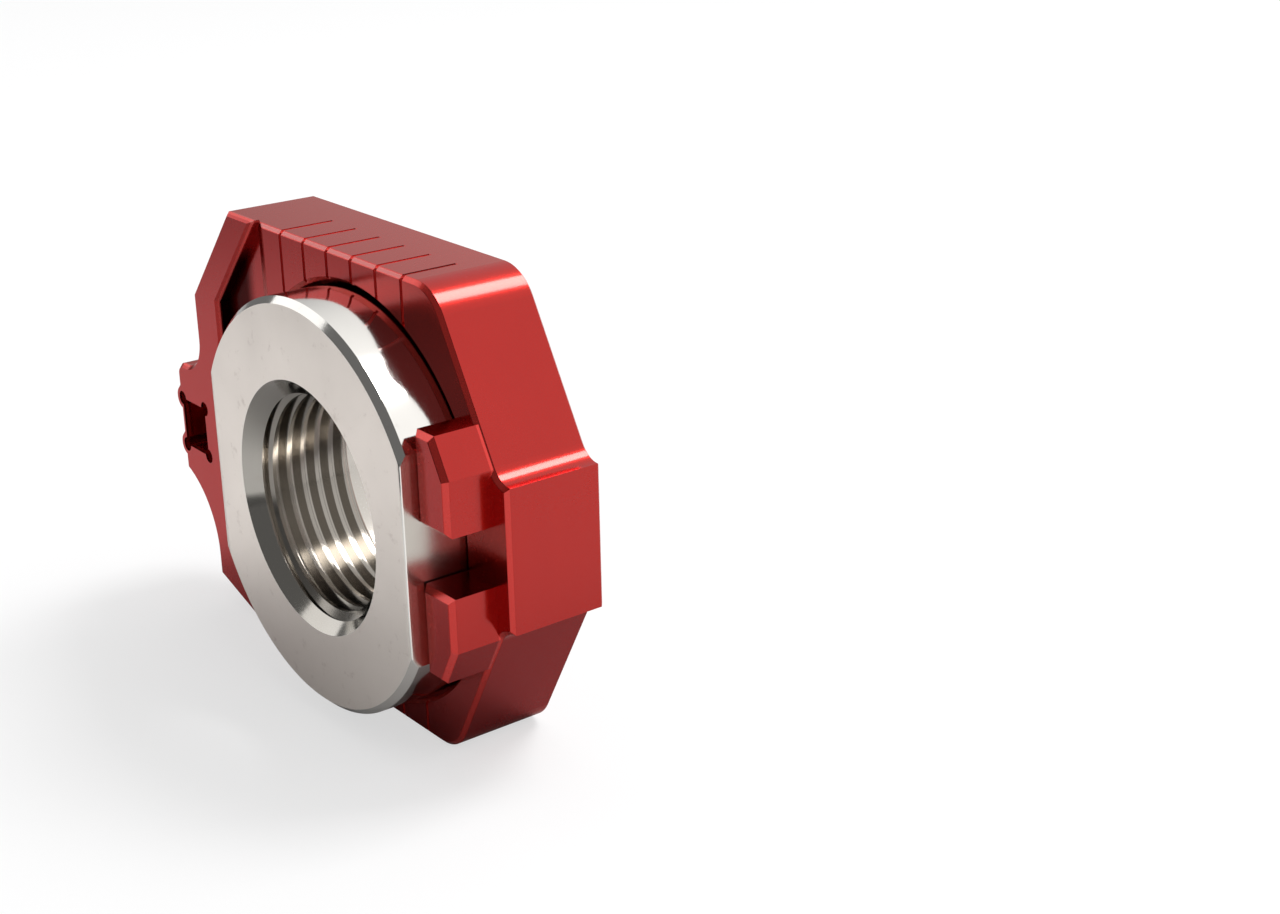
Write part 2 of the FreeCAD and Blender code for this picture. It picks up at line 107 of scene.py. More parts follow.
class Sock:
    """An output of a shader node that is worked with as a number in an expression."""

    def __init__(self, shader: Shader, node: bpy.types.Node, key: int | str) -> None:
        """Keeps the shader, its node and the name or number of the output."""
        self.shader, self.node, self.key = shader, node, key

    @property
    def out(self) -> bpy.types.NodeSocket:
        """The output itself."""
        return self.node.outputs[self.key]

    def _math(self, kind: str, *values: Sock | float) -> Sock:
        """Adds one Math node."""
        return self.shader.node("ShaderNodeMath", {"operation": kind}, dict(enumerate(values)))

    def __add__(self, other: Sock | float) -> Sock:
        """Sum."""
        return self._math("ADD", self, other)

    __radd__ = __add__

    def __sub__(self, other: Sock | float) -> Sock:
        """Difference."""
        return self._math("SUBTRACT", self, other)

    def __rsub__(self, other: Sock | float) -> Sock:
        """Difference the other way round."""
        return self._math("SUBTRACT", other, self)

    def __mul__(self, other: Sock | float) -> Sock:
        """Product."""
        return self._math("MULTIPLY", self, other)

    __rmul__ = __mul__

    def __pow__(self, other: Sock | float) -> Sock:
        """Power."""
        return self._math("POWER", self, other)

    def __abs__(self) -> Sock:
        """Size without its sign."""
        return self._math("ABSOLUTE", self)

    def sine(self) -> Sock:
        """Sine, of an angle in radians."""
        return self._math("SINE", self)

    def reach(self, other: Sock) -> Sock:
        """Distance from the axis where this coordinate and another are 0."""
        return (self * self + other * other) ** 0.5

    def above(self, edge: float, soft: float) -> Sock:
        """A mask that rises from 0 to 1 over a soft stretch round an edge.

        Args:
            edge: Value at the middle of the rise.
            soft: Length of the rise.

        Returns:
            The mask.
        """
        setup = {"interpolation_type": "SMOOTHSTEP", "clamp": True}
        values = {0: self, 1: edge - soft / 2, 2: edge + soft / 2, 3: 0.0, 4: 1.0}
        return self.shader.node("ShaderNodeMapRange", setup, values)

    def below(self, edge: float, soft: float) -> Sock:
        """A mask that falls from 1 to 0 over a soft stretch round an edge."""
        return 1.0 - self.above(edge, soft)


class Shader:
    """Builds the node tree of a material or of the world."""

    def __init__(self, owner: bpy.types.Material | bpy.types.World, result: str) -> None:
        """Empties the owner's tree.

        Args:
            owner: Material or world that is built.
            result: Blender's type of its output node.
        """
        owner.use_nodes = True
        self.tree = owner.node_tree
        self.tree.nodes.clear()
        self.result = result
        self._place: Sock | None = None

    def node(self, kind: str, setup: dict[str, object] | None = None,
             values: dict[int | str, object] | None = None, out: int | str = 0) -> Sock:
        """Adds a node.

        Args:
            kind: Blender's type of the node.
            setup: Settings of the node, set first.
            values: Values or links of its sockets, by name or number.
            out: Output that is handed back.

        Returns:
            The chosen output.
        """
        made = self.tree.nodes.new(kind)
        for key, value in (setup or {}).items():
            setattr(made, key, value)
        for key, value in (values or {}).items():
            socket = made.inputs[key]
            if isinstance(value, Sock):
                self.tree.links.new(value.out, socket)
            elif isinstance(value, tuple) and len(value) < len(socket.default_value):
                socket.default_value = (*value, 1.0)
            else:
                socket.default_value = value
        return Sock(self, made, out)

    def place(self) -> Sock:
        """Object coordinates, in metres.

        Returns:
            The coordinates, from one node for the whole tree.
        """
        if self._place is None:
            self._place = self.node("ShaderNodeTexCoord", out="Object")
        return self._place

    def parts(self) -> tuple[Sock, Sock, Sock]:
        """The object coordinates x, y and z, each as a number."""
        split = self.node("ShaderNodeSeparateXYZ", values={0: self.place()}).node
        return Sock(self, split, 0), Sock(self, split, 1), Sock(self, split, 2)

    def stretched(self, scale: Place) -> Sock:
        """Object coordinates, scaled by one factor an axis."""
        return self.node("ShaderNodeMapping", values={"Vector": self.place(), "Scale": scale})

    def noise(self, scale: float, detail: float = 2.0, where: Sock | None = None,
              roughness: float = 0.5) -> Sock:
        """Soft noise, from 0 to 1.

        Args:
            scale: Cycles a metre, or a unit of the place.
            detail: Finer layers.
            where: Place that it is read at; the object's own by default.
            roughness: Weight of the finer layers.

        Returns:
            The noise as a number.
        """
        values = {"Vector": where or self.place(), "Scale": scale, "Detail": detail,
                  "Roughness": roughness}
        return self.node("ShaderNodeTexNoise", values=values)

    def mix(self, share: Sock | float, low: Colour | Sock, high: Colour | Sock) -> Sock:
        """Blends two colours by a mask."""
        values = {"Factor": share, 6: low, 7: high}
        return self.node("ShaderNodeMix", {"data_type": "RGBA"}, values, 2)

    def mix_surface(self, share: Sock | float, low: Sock, high: Sock) -> Sock:
        """Blends two shaders by a mask."""
        return self.node("ShaderNodeMixShader", values={0: share, 1: low, 2: high})

    def bump(self, height: Sock, depth: float, strength: float) -> Sock:
        """A bump from a height between 0 and 1, with its depth in metres."""
        values = {"Height": height, "Distance": depth, "Strength": strength}
        return self.node("ShaderNodeBump", values=values)

    def principled(self, **values: object) -> Sock:
        """A Principled shader; an underline in an input's name stands for a space."""
        named = {key.replace("_", " "): value for key, value in values.items()}
        return self.node("ShaderNodeBsdfPrincipled", values=named)

    def close(self, surface: Sock) -> None:
        """Links the finished surface to the output of the tree."""
        self.node(self.result, values={"Surface": surface})


class Finish(Shader):
    """Builds one material."""

    def __init__(self, name: str) -> None:
        """Makes an empty material of that name."""
        self.material = bpy.data.materials.new(name)
        super().__init__(self.material, "ShaderNodeOutputMaterial")

    def done(self, surface: Sock) -> bpy.types.Material:
        """Ends the material with its surface, and hands it back."""
        self.close(surface)
        return self.material


@dataclass(frozen=True)
class Band:
    """A stretch of one measure that a mask covers, in millimetres.

    Attributes:
        low: Where it starts.
        high: Where it ends.
        rise: Length of the soft rise at its start.
        fall: Length of the soft fall at its end.
    """

    low: float
    high: float
    rise: float
    fall: float

    def mask(self, measure: Sock) -> Sock:
        """A mask that is 1 in the stretch and 0 outside it."""
        start = measure.above(self.low * MM, self.rise * MM)
        return start * measure.below(self.high * MM, self.fall * MM)


@dataclass(frozen=True)
class Wall:
    """A wall that runs along the axle, seen as a line in the plane of the plate.

    Attributes:
        across: Share of x in the way that it faces, out from the axle.
        up: Share of z in that way.
        reach: Its distance from the axle's axis, in millimetres.
        soft: Length of the soft fall at it, in millimetres.
    """

    across: float
    up: float
    reach: float
    soft: float

    def inside(self, across: Sock, up: Sock) -> Sock:
        """A mask that is 1 on the axle's side of the wall."""
        return (across * self.across + up * self.up).below(self.reach * MM, self.soft * MM)


@dataclass(frozen=True)
class RedAnodising:
    """Satin red anodising over machined aluminium, with the axle's bore turned bare.

    An edge is the place of a soft change and its length, in metres.

    Attributes:
        body: Colour of the dye.
        pale: The dye where it is a little thinner.
        wear_and_edge_highlight: Paler dye on broken edges, partly wear and partly a painted edge
            highlight.
        painted_mark_light: Paler colour on the floors of the graduations, painted light against the
            shade in the grooves.
        painted_hollow_shade: Painted shade in the hollow beside the flange, a dark colour where little
            light comes in.
        bright: Painted light on the walls of the screw's seat, a brighter red that lifts the shade of
            the pocket.
        bare: The metal in the axle's bore.
        thinned: How far the clouds and the streaks thin the dye.
        wear_and_highlight_share: How far the broken edges turn paler, by wear and by the painted
            highlight.
        matt_marks: Share of the metal's reflection that the graduations lose.
        matt_edges: Share that the broken edges lose.
        roughness: Middle roughness.
        uneven: How far the roughness strays with each of its two noises.
        rough_hollow: How much rougher the hollow is.
        coat: Weight of the clear skin, where nothing takes it off.
        coat_roughness: Roughness of the skin.
        coat_index: Index of refraction of the skin.
        coat_hollow: Share of the skin that the hollow lacks.
        skin: Tint of the reflection that dyed oxide gives.
        relief: Depth of the milling marks, in metres.
        relief_shares: Shares of the grain and of the streaks in those marks.
        relief_strength: How strongly they show.
        clouds: Scale of the large unevenness, in cycles a metre.
        grains: Scale of the grain, in cycles a metre.
        streaks: Scale of the milling marks along each axis, in cycles a metre.
        middle: Height of the block's middle over the axle's axis, in metres.
        half_height: Half the block's height, in metres.
        plate_edge: Broken edge round the front of the plate, along the axle.
        lug_edge: Broken edge round the front of the lugs, along the axle.
        mark_floor: Depth of the graduations' floors under the long edges.
        mark_front: Depth of the graduations' floors down the front, along the axle.
        mark_row: Length of the row of graduations.
        mark_start: Edge round the nut's seat where those down the front start.
        mark_end: Edge under the long edges where they end.
        mark_faint: How strongly those down the front show.
        hollow_level: Depth of the hollow, along the axle.
        hollow_row: Length of the hollow.
        hollow_walls: Upper and lower slanted wall of the hollow.
        hollow_sides: Edge of the hollow over and under the block's middle.
        seat_middle: Middle of the screw's seat, x and z, in metres.
        seat_half: Half the sides of the screw's seat, in metres.
        seat_soft: Length of the soft fall at its sides, in metres.
        seat_level: Depth of the screw's seat, along the axle.
        bore_wall: Edge round the axle's bore.
        bore_start: Edge along the axle where the bore starts.
    """

    body: Colour = linear(155, 17, 8)
    pale: Colour = linear(169, 25, 14)
    wear_and_edge_highlight: Colour = linear(226, 58, 50)
    painted_mark_light: Colour = linear(232, 84, 78)
    painted_hollow_shade: Colour = linear(44, 4, 3)
    bright: Colour = linear(250, 34, 22)
    bare: Colour = linear(186, 181, 174)
    thinned: tuple[float, float] = (0.5, 0.2)
    wear_and_highlight_share: float = 0.55
    matt_marks: float = 0.8
    matt_edges: float = 0.25
    roughness: float = 0.25
    uneven: float = 0.10
    rough_hollow: float = 0.15
    coat: float = 0.60
    coat_roughness: float = 0.14
    coat_index: float = 1.5
    coat_hollow: float = 0.85
    skin: Colour = (1.0, 0.45, 0.42)
    relief: float = 0.000012
    relief_shares: tuple[float, float] = (0.7, 0.3)
    relief_strength: float = 0.35
    clouds: float = 90.0
    grains: float = 5200.0
    streaks: Place = (900.0, 900.0, 60.0)
    middle: float = 0.65 * MM
    half_height: float = 22.0 * MM
    plate_edge: Band = Band(-9.67, -9.33, 0.04, 0.04)
    lug_edge: Band = Band(-14.25, -13.83, 0.04, 0.04)
    mark_floor: Band = Band(0.07, 0.30, 0.06, 0.04)
    mark_front: Band = Band(-9.64, -9.42, 0.06, 0.04)
    mark_row: Band = Band(-17.5, 9.0, 0.4, 0.4)
    mark_start: Edge = (20.5 * MM, 0.2 * MM)
    mark_end: Edge = (0.2 * MM, 0.1 * MM)
    mark_faint: float = 0.5
    hollow_level: Band = Band(-9.50, -8.45, 0.5, 0.1)
    hollow_row: Band = Band(-27.5, -20.5, 0.2, 2.5)
    hollow_walls: tuple[Wall, Wall] = (Wall(-0.743, 0.669, 31.0, 0.3), Wall(-0.308, -0.951, 26.5, 0.3))
    hollow_sides: Edge = (21.4 * MM, 0.3 * MM)
    seat_middle: tuple[float, float] = (-33.55 * MM, -2.45 * MM)
    seat_half: tuple[float, float] = (3.0 * MM, 3.4 * MM)
    seat_soft: float = 0.2 * MM
    seat_level: Band = Band(-9.2, -3.0, 0.4, 0.2)
    bore_wall: Edge = (12.78 * MM, 0.04 * MM)
    bore_start: Edge = (-4.4 * MM, 0.1 * MM)

    def material(self) -> bpy.types.Material:
        """Makes the material.

        Returns:
            The red anodised finish.
        """
        shader = Finish("red_anodised_aluminium")
        across, along, up = shader.parts()
        cloud = shader.noise(self.clouds, 4.0)
        grain = shader.noise(self.grains)
        streak = shader.noise(1.0, where=shader.stretched(self.streaks))
        hollow = self._hollow(across, along, up)
        bore = self._bore(across, along, up)
        marks = self._marks(across, along, up)
        wear_and_edge_highlight = self._edges(along)
        thin = cloud * self.thinned[0] + streak * self.thinned[1]
        colour = shader.mix(thin, self.body, self.pale)
        # Broken edges turn paler: partly wear, partly a painted edge highlight.
        colour = shader.mix(wear_and_edge_highlight * self.wear_and_highlight_share, colour, self.wear_and_edge_highlight)
        # Painted light: a paler colour on the graduations' floors, against the shade in the grooves.
        colour = shader.mix(marks, colour, self.painted_mark_light)
        # Painted shade: a dark colour in the hollow beside the flange.
        colour = shader.mix(hollow, colour, self.painted_hollow_shade)
        # Painted light: a brighter red on the walls of the screw's seat, against the pocket's shade.
        colour = shader.mix(self._seat(across, along, up), colour, self.bright)
        colour = shader.mix(bore, colour, self.bare)
        metal = 1.0 - marks * self.matt_marks - wear_and_edge_highlight * self.matt_edges
        rough = self.roughness + (cloud - 0.5) * self.uneven + (grain - 0.5) * self.uneven
        rough = rough + hollow * self.rough_hollow
        coat = (1.0 - bore) * (1.0 - hollow * self.coat_hollow) * self.coat
        height = grain * self.relief_shares[0] + streak * self.relief_shares[1]
        relief = shader.bump(height, self.relief, self.relief_strength)
        return shader.done(shader.principled(
            Base_Color=colour, Metallic=metal, Roughness=rough, Normal=relief, Coat_Weight=coat,
            Coat_Roughness=self.coat_roughness, Coat_IOR=self.coat_index, Specular_Tint=self.skin))

    def _edges(self, along: Sock) -> Sock:
        """The broken edges round the front of the plate and the lugs, paler by wear and by a painted
        highlight.
        """
        return self.plate_edge.mask(along) + self.lug_edge.mask(along)

    def _marks(self, across: Sock, along: Sock, up: Sock) -> Sock:
        """The floors of the graduations, over both long edges and down the front, where a paler colour
        paints light into the grooves' shade.

        Args:
            across: Place along the block.
            along: Place along the axle.
            up: Height.

        Returns:
            The mask.
        """
        under = self.half_height - abs(up - self.middle)
        front = across.reach(up).above(*self.mark_start) * under.above(*self.mark_end)
        front = front * self.mark_front.mask(along) * self.mark_faint
        return (self.mark_floor.mask(under) + front) * self.mark_row.mask(across)

    def _hollow(self, across: Sock, along: Sock, up: Sock) -> Sock:
        """The hollow beside the flange, where a dark colour paints the shade that falls there.

        Args:
            across: Place along the block.
            along: Place along the axle.
            up: Height.

        Returns:
            The mask.
        """
        inside = abs(up - self.middle).below(*self.hollow_sides)
        for wall in self.hollow_walls:
            inside = inside * wall.inside(across, up)
        return self.hollow_level.mask(along) * self.hollow_row.mask(across) * inside

    def _seat(self, across: Sock, along: Sock, up: Sock) -> Sock:
        """The walls of the screw's seat, where a brighter red paints light into the pocket's shade.

        Args:
            across: Place along the block.
            along: Place along the axle.
            up: Height.

        Returns:
            The mask.
        """
        wide = abs(across - self.seat_middle[0]).below(self.seat_half[0], self.seat_soft)
        high = abs(up - self.seat_middle[1]).below(self.seat_half[1], self.seat_soft)
        return wide * high * self.seat_level.mask(along)

    def _bore(self, across: Sock, along: Sock, up: Sock) -> Sock:
        """The wall of the axle's bore."""
        return across.reach(up).below(*self.bore_wall) * along.above(*self.bore_start)


@dataclass(frozen=True)
class MachinedSteel:
    """Bare or plated steel with the marks of its machining.

    Attributes:
        name: Name of the finish.
        colour: Colour of the metal.
        roughness: Middle roughness.
        turned: Height of turning rings round the nut's axis, in metres.
        ring: Spacing of the turning rings, in metres.
        brushed: Height of straight milling marks, in metres.
        stained: Strength of the faint stains.
        stain: Colour of the stains.
        stain_edge: Level of their noise at which they start, and how softly.
        stain_rough: How much rougher they are.
        dull: Share of its light that the metal keeps where it is darkest.
        uneven: How far the roughness strays with the clouds and the grain.
        relief: Depth of the grain, where there are no other marks, in metres.
        relief_strength: How strongly grain and marks show.
        clouds: Scale of the large unevenness, in cycles a metre.
        grains: Scale of the grain, in cycles a metre.
        stains: Scale of the stains, in cycles a metre.
        lines: Scale of the milling marks along each axis, in cycles a metre.
    """

    name: str
    colour: Colour
    roughness: float
    turned: float = 0.0
    ring: float = 0.28 * MM
    brushed: float = 0.0
    stained: float = 0.12
    stain: Colour = linear(150, 128, 118)
    stain_edge: Edge = (0.66, 0.16)
    stain_rough: float = 0.2
    dull: float = 0.90
    uneven: tuple[float, float] = (0.12, 0.08)
    relief: float = 0.000006
    relief_strength: float = 0.5
    clouds: float = 160.0
    grains: float = 6000.0
    stains: float = 620.0
    lines: Place = (300.0, 9000.0, 120.0)

    def material(self) -> bpy.types.Material:
        """Makes the material.

        Returns:
            The machined finish.
        """
        shader = Finish(self.name)
        across, _, up = shader.parts()
        cloud = shader.noise(self.clouds, 4.0)
        grain = shader.noise(self.grains)
        stain = shader.noise(self.stains, 5.0, roughness=0.7).above(*self.stain_edge) * self.stained
        colour = shader.mix(cloud, self.colour, tuple(part * self.dull for part in self.colour))
        colour = shader.mix(stain, colour, self.stain)
        rough = self.roughness + (cloud - 0.5) * self.uneven[0] + (grain - 0.5) * self.uneven[1]
        rough = rough + stain * self.stain_rough
        height = grain * 0.5
        if self.turned:
            rings = (across.reach(up) * (2 * math.pi / self.ring)).sine()
            height = height + rings * 0.5
        if self.brushed:
            height = height + shader.noise(1.0, where=shader.stretched(self.lines))
        depth = self.brushed or self.turned or self.relief
        relief = shader.bump(height, depth, self.relief_strength)
        return shader.done(shader.principled(
            Base_Color=colour, Metallic=1.0, Roughness=rough, Normal=relief))


@dataclass(frozen=True)
class PaleFloor:
    """Pale paper of the floor, which the object mirrors darker than the camera sees it.

    Each edge below is the place of a soft change and its length, in metres.

    Attributes:
        tones: Darkest and palest tone of the paper, to all but the camera.
        seen: The same two tones to the camera, under the glow.
        glow: Light that the paper adds to what the camera sees.
        clouds: Scale of its unevenness, in cycles a metre.
        foot: Middle of the shaded spot under the block, x and y, in metres.
        foot_edge: Edge of that spot.
        foot_tone: Its tone.
        left_way: Way to the far left, x and y.
        left_edge: Edge of the far left, along that way.
        left_tone: Its tone.
        end_edge: Edge of the paper past the plain end, along x.
        end_tone: Its tone.
        near_edge: Edge of the unlit side, where the camera stands, along y.
        near_tone: Its tone.
    """

    tones: tuple[Colour, Colour] = ((0.675, 0.675, 0.677), (0.695, 0.695, 0.697))
    seen: tuple[Colour, Colour] = ((0.305, 0.305, 0.306), (0.315, 0.315, 0.316))
    glow: float = 0.62
    clouds: float = 3.0
    foot: tuple[float, float] = (0.018, 0.004)
    foot_edge: Edge = (0.018, 0.014)
    foot_tone: Colour = grey(0.34)
    left_way: tuple[float, float] = (-0.86, -0.45)
    left_edge: Edge = (0.165, 0.06)
    left_tone: Colour = grey(0.42)
    end_edge: Edge = (0.05, 0.03)
    end_tone: Colour = grey(0.92)
    near_edge: Edge = (-0.16, 0.04)
    near_tone: Colour = grey(0.10)

    def material(self) -> bpy.types.Material:
        """Makes the material.

        Returns:
            The finish of the floor.
        """
        shader = Finish("pale_floor")
        across, along, _ = shader.parts()
        cloud = shader.noise(self.clouds)
        spot = (across - self.foot[0]).reach(along - self.foot[1])
        left = across * self.left_way[0] + along * self.left_way[1]
        tone = shader.mix(cloud, *self.tones)
        tone = shader.mix(spot.below(*self.foot_edge), tone, self.foot_tone)
        tone = shader.mix(left.above(*self.left_edge), tone, self.left_tone)
        tone = shader.mix(across.above(*self.end_edge), tone, self.end_tone)
        tone = shader.mix(along.above(*self.near_edge), self.near_tone, tone)
        matt = {"Roughness": 1.0, "Specular_IOR_Level": 0.0}
        mirrored = shader.principled(Base_Color=tone, **matt)
        watched = shader.principled(Base_Color=shader.mix(cloud, *self.seen), Emission_Color=WHITE,
                                    Emission_Strength=self.glow, **matt)
        direct = shader.node("ShaderNodeLightPath", out="Is Camera Ray")
        return shader.done(shader.mix_surface(direct, mirrored, watched))


@dataclass(frozen=True)
class WhiteRoom:
    """Pale room: bright overhead and behind the object, dim on the nut's side, white to the camera.

    Attributes:
        bright_way: Way to the bright side.
        change: Middle and length of the change from dim to bright, along that way.
        dim: Strength on the dim side.
        bright: Strength on the bright side.
        seen: Strength to the camera.
    """

    bright_way: Place = (0.25, 0.85, 0.45)
    change: Edge = (0.375, 1.05)
    dim: float = 0.18
    bright: float = 1.35
    seen: float = 1.0

    def build(self) -> None:
        """Makes the world."""
        world = bpy.data.worlds.new("white_room")
        bpy.context.scene.world = world
        shader = Shader(world, "ShaderNodeOutputWorld")
        way = shader.node("ShaderNodeTexCoord", out="Generated")
        slope = shader.node("ShaderNodeVectorMath", {"operation": "DOT_PRODUCT"},
                            {0: way, 1: self.bright_way}, "Value")
        dim, bright, seen = (
            shader.node("ShaderNodeBackground", values={"Color": WHITE, "Strength": strength})
            for strength in (self.dim, self.bright, self.seen))
        room = shader.mix_surface(slope.above(*self.change), dim, bright)
        direct = shader.node("ShaderNodeLightPath", out="Is Camera Ray")
        shader.close(shader.mix_surface(direct, room, seen))


def deselect_all() -> None:
    """Deselects everything, ready for a new primitive."""
    bpy.ops.object.select_all(action="DESELECT")
    bpy.context.view_layer.objects.active = None


def activate(piece: bpy.types.Object) -> None:
    """Selects one object alone and makes it the active one.

    Args:
        piece: The object.
    """
    deselect_all()
    piece.select_set(True)
    bpy.context.view_layer.objects.active = piece


def pick(piece: bpy.types.Object, kind: Element, test: Callable[[Vector], bool]) -> None:
    """Selects, in edit mode, the corners or edges that pass a test.

    Args:
        piece: Object in edit mode.
        kind: What is selected.
        test: Whether a place belongs; both corners of an edge have to.
    """
    bpy.ops.mesh.select_mode(type=kind.value)
    bpy.ops.mesh.select_all(action="DESELECT")
    mesh = bmesh.from_edit_mesh(piece.data)
    for item in mesh.verts if kind is Element.CORNER else mesh.edges:
        corners = (item,) if kind is Element.CORNER else item.verts
        if all(test(corner.co) for corner in corners):
            item.select_set(True)
    mesh.select_flush_mode()
    bmesh.update_edit_mesh(piece.data)


def cut_off(spot: Place, way: Place) -> None:
    """Cuts off, in edit mode, what lies past a plane, and closes the cut.

    Args:
        spot: A place in the plane.
        way: The way that the plane faces.
    """
    bpy.ops.mesh.select_all(action="SELECT")
    bpy.ops.mesh.bisect(plane_co=spot, plane_no=way, use_fill=True, clear_outer=True)


def close_up() -> None:
    """Merges doubles in edit mode, and turns all faces outwards."""
    bpy.ops.mesh.select_all(action="SELECT")
    bpy.ops.mesh.remove_doubles(threshold=MERGED)
    bpy.ops.mesh.normals_make_consistent(inside=False)


def apply_modifier(piece: bpy.types.Object, kind: str, name: str, **settings: object) -> None:
    """Adds a modifier, sets it up and applies it.

    Args:
        piece: Object that it changes.
        kind: Blender's type of the modifier.
        name: Name of the modifier.
        **settings: Its settings.
    """
    activate(piece)
    modifier = piece.modifiers.new(name, kind)
    for key, value in settings.items():
        setattr(modifier, key, value)
    bpy.ops.object.modifier_apply(modifier=name)


def cut_with(piece: bpy.types.Object, tool: bpy.types.Object, name: str) -> None:
    """Cuts a tool out of a piece, and takes the tool away."""
    apply_modifier(piece, "BOOLEAN", name, object=tool, operation="DIFFERENCE", solver="EXACT")
    bpy.data.objects.remove(tool, do_unlink=True)


@dataclass
class AxleNut:
    """Steel axle nut with two flats and a real M22 x 1.5 thread, in metres.

    It stands for the CAD nut, whose bore is plain.

    Attributes:
        back: Place of its back face along the axle.
        front: Place of its front face.
        radius: Radius of its round rim.
        half_flats: Half the distance between its flats.
        edge: Broken edge round both faces.
        flat_edge: Broken edge along the flats.
        crest: Radius at the crests of the thread.
        root: Radius at the roots of the thread.
        pitch: Pitch of the thread.
        land: Share of the pitch that a crest takes.
        flank: Share of the pitch that a flank takes.
        groove: Share of the pitch that a root takes.
        spare_turns: Turns of the tap beyond each end of the nut.
        steps: Steps of the tap in a turn.
        countersink: Radius of the front countersink in its face.
        back_countersink: The same at the back.
        cone_tip: Radius at which both countersinks end.
        cone_over: How far their cutters stand out of the nut.
        cone_depth: Depth from a face within which a slanted face is a countersink's.
        segments: Sides of the round forms.
        smooth_under: Angle under which neighbouring faces look like one, in radians.
        finishes: Finishes in the order of the slots.
    """

    back: float = -4.7 * MM
    front: float = -15.6 * MM
    radius: float = 19.55 * MM
    half_flats: float = 16.85 * MM
    edge: float = 0.6 * MM
    flat_edge: float = 0.35 * MM
    crest: float = 10.2 * MM
    root: float = 11.0 * MM
    pitch: float = 1.5 * MM
    land: float = 0.25
    flank: float = 0.3125
    groove: float = 0.125
    spare_turns: int = 2
    steps: int = 144
    countersink: float = 12.0 * MM
    back_countersink: float = 11.2 * MM
    cone_tip: float = 9.0 * MM
    cone_over: float = 0.5 * MM
    cone_depth: float = 2.0 * MM
    segments: int = 192
    smooth_under: float = math.radians(28)
    finishes: Sequence[MachinedSteel] = (
        MachinedSteel("nut_face_steel", linear(243, 234, 226), 0.34, turned=0.0000025, ring=0.35 * MM,
                      stained=0.22),
        MachinedSteel("nut_rim_steel", linear(224, 221, 216), 0.10),
        MachinedSteel("nut_flat_steel", linear(186, 180, 172), 0.22, brushed=0.000003),
        MachinedSteel("nut_thread_steel", linear(146, 141, 134), 0.15),
        MachinedSteel("nut_cone_steel", linear(180, 176, 169), 0.14, turned=0.000002),
    )

    def build(self) -> bpy.types.Object:
        """Builds the nut.

        Returns:
            The nut, which replaces the CAD node.
        """
        nut = self._ring()
        cut_with(nut, self._tap(), "Thread")
        for end, reach in ((self.back, self.back_countersink), (self.front, self.countersink)):
            cut_with(nut, self._countersink(end, reach), "Countersink")
        activate(nut)
        bpy.ops.object.mode_set(mode="EDIT")
        close_up()
        bpy.ops.object.mode_set(mode="OBJECT")
        bpy.ops.object.shade_smooth_by_angle(angle=self.smooth_under)
        self._dress(nut)
        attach(nut, "root")
        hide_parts("axle_nut")
        return nut

    def _ring(self) -> bpy.types.Object:
        """The blank: a chamfered disc with its two flats.

        Returns:
            The blank.
        """
        deselect_all()
        bpy.ops.mesh.primitive_cylinder_add(
            vertices=self.segments, radius=self.radius, depth=self.back - self.front,
            location=(0, 0.5 * (self.back + self.front), 0), rotation=(math.pi / 2, 0, 0))
        nut = bpy.context.active_object
        nut.name = "axle_nut_threaded"
        bpy.ops.object.transform_apply(location=True, rotation=True, scale=True)
        bpy.ops.object.mode_set(mode="EDIT")
        for end in (self.back, self.front):
            pick(nut, Element.EDGE, lambda spot: abs(spot.y - end) < IN_PLANE)
            bpy.ops.mesh.bevel(offset=self.edge, offset_type="OFFSET", segments=1)
        for side in (1.0, -1.0):
            cut_off((side * self.half_flats, 0, 0), (side, 0, 0))
        limit = self.half_flats - IN_PLANE
        for side in (1.0, -1.0):
            for end in (self.back, self.front):
                pick(nut, Element.EDGE,
                     lambda spot: side * spot.x > limit and abs(spot.y - end) < IN_PLANE)
                bpy.ops.mesh.bevel(offset=self.flat_edge, offset_type="OFFSET", segments=2)
        bpy.ops.object.mode_set(mode="OBJECT")
        return nut

    def _tooth(self, start: float) -> bpy.types.Object:
        """The outline of one tooth of the tap, as a chain of edges.

        Args:
            start: Where its first crest starts along the axle.

        Returns:
            The outline.
        """
        land, flank, groove = (share * self.pitch for share in (self.land, self.flank, self.groove))
        deselect_all()
        bpy.ops.mesh.primitive_plane_add(size=1.0)
        tooth = bpy.context.active_object
        tooth.name = "tap"
        spots = (
            (self.crest, start + land), (self.root, start + land + flank),
            (self.root, start + land + flank + groove), (self.crest, start + self.pitch),
        )
        order = sorted(tooth.data.vertices, key=lambda corner: (corner.co.y, corner.co.x))
        # The plane's corners run round, so its second pair swaps to keep the tooth's edges in a row.
        for corner, (reach, along) in zip((order[0], order[2], order[3], order[1]), spots):
            corner.co = (reach, along, 0.0)
        bpy.ops.object.mode_set(mode="EDIT")
        bpy.ops.mesh.select_all(action="SELECT")
        bpy.ops.mesh.delete(type="ONLY_FACE")
        low, high = self.crest - IN_PLANE, self.crest + IN_PLANE
        pick(tooth, Element.EDGE, lambda spot: low < spot.x < high)
        bpy.ops.mesh.delete(type="EDGE")
        pick(tooth, Element.CORNER,
             lambda spot: low < spot.x < high and spot.y < start + land + IN_PLANE)
        bpy.ops.mesh.extrude_region_move(TRANSFORM_OT_translate={"value": (0, -land, 0)})
        bpy.ops.object.mode_set(mode="OBJECT")
        return tooth

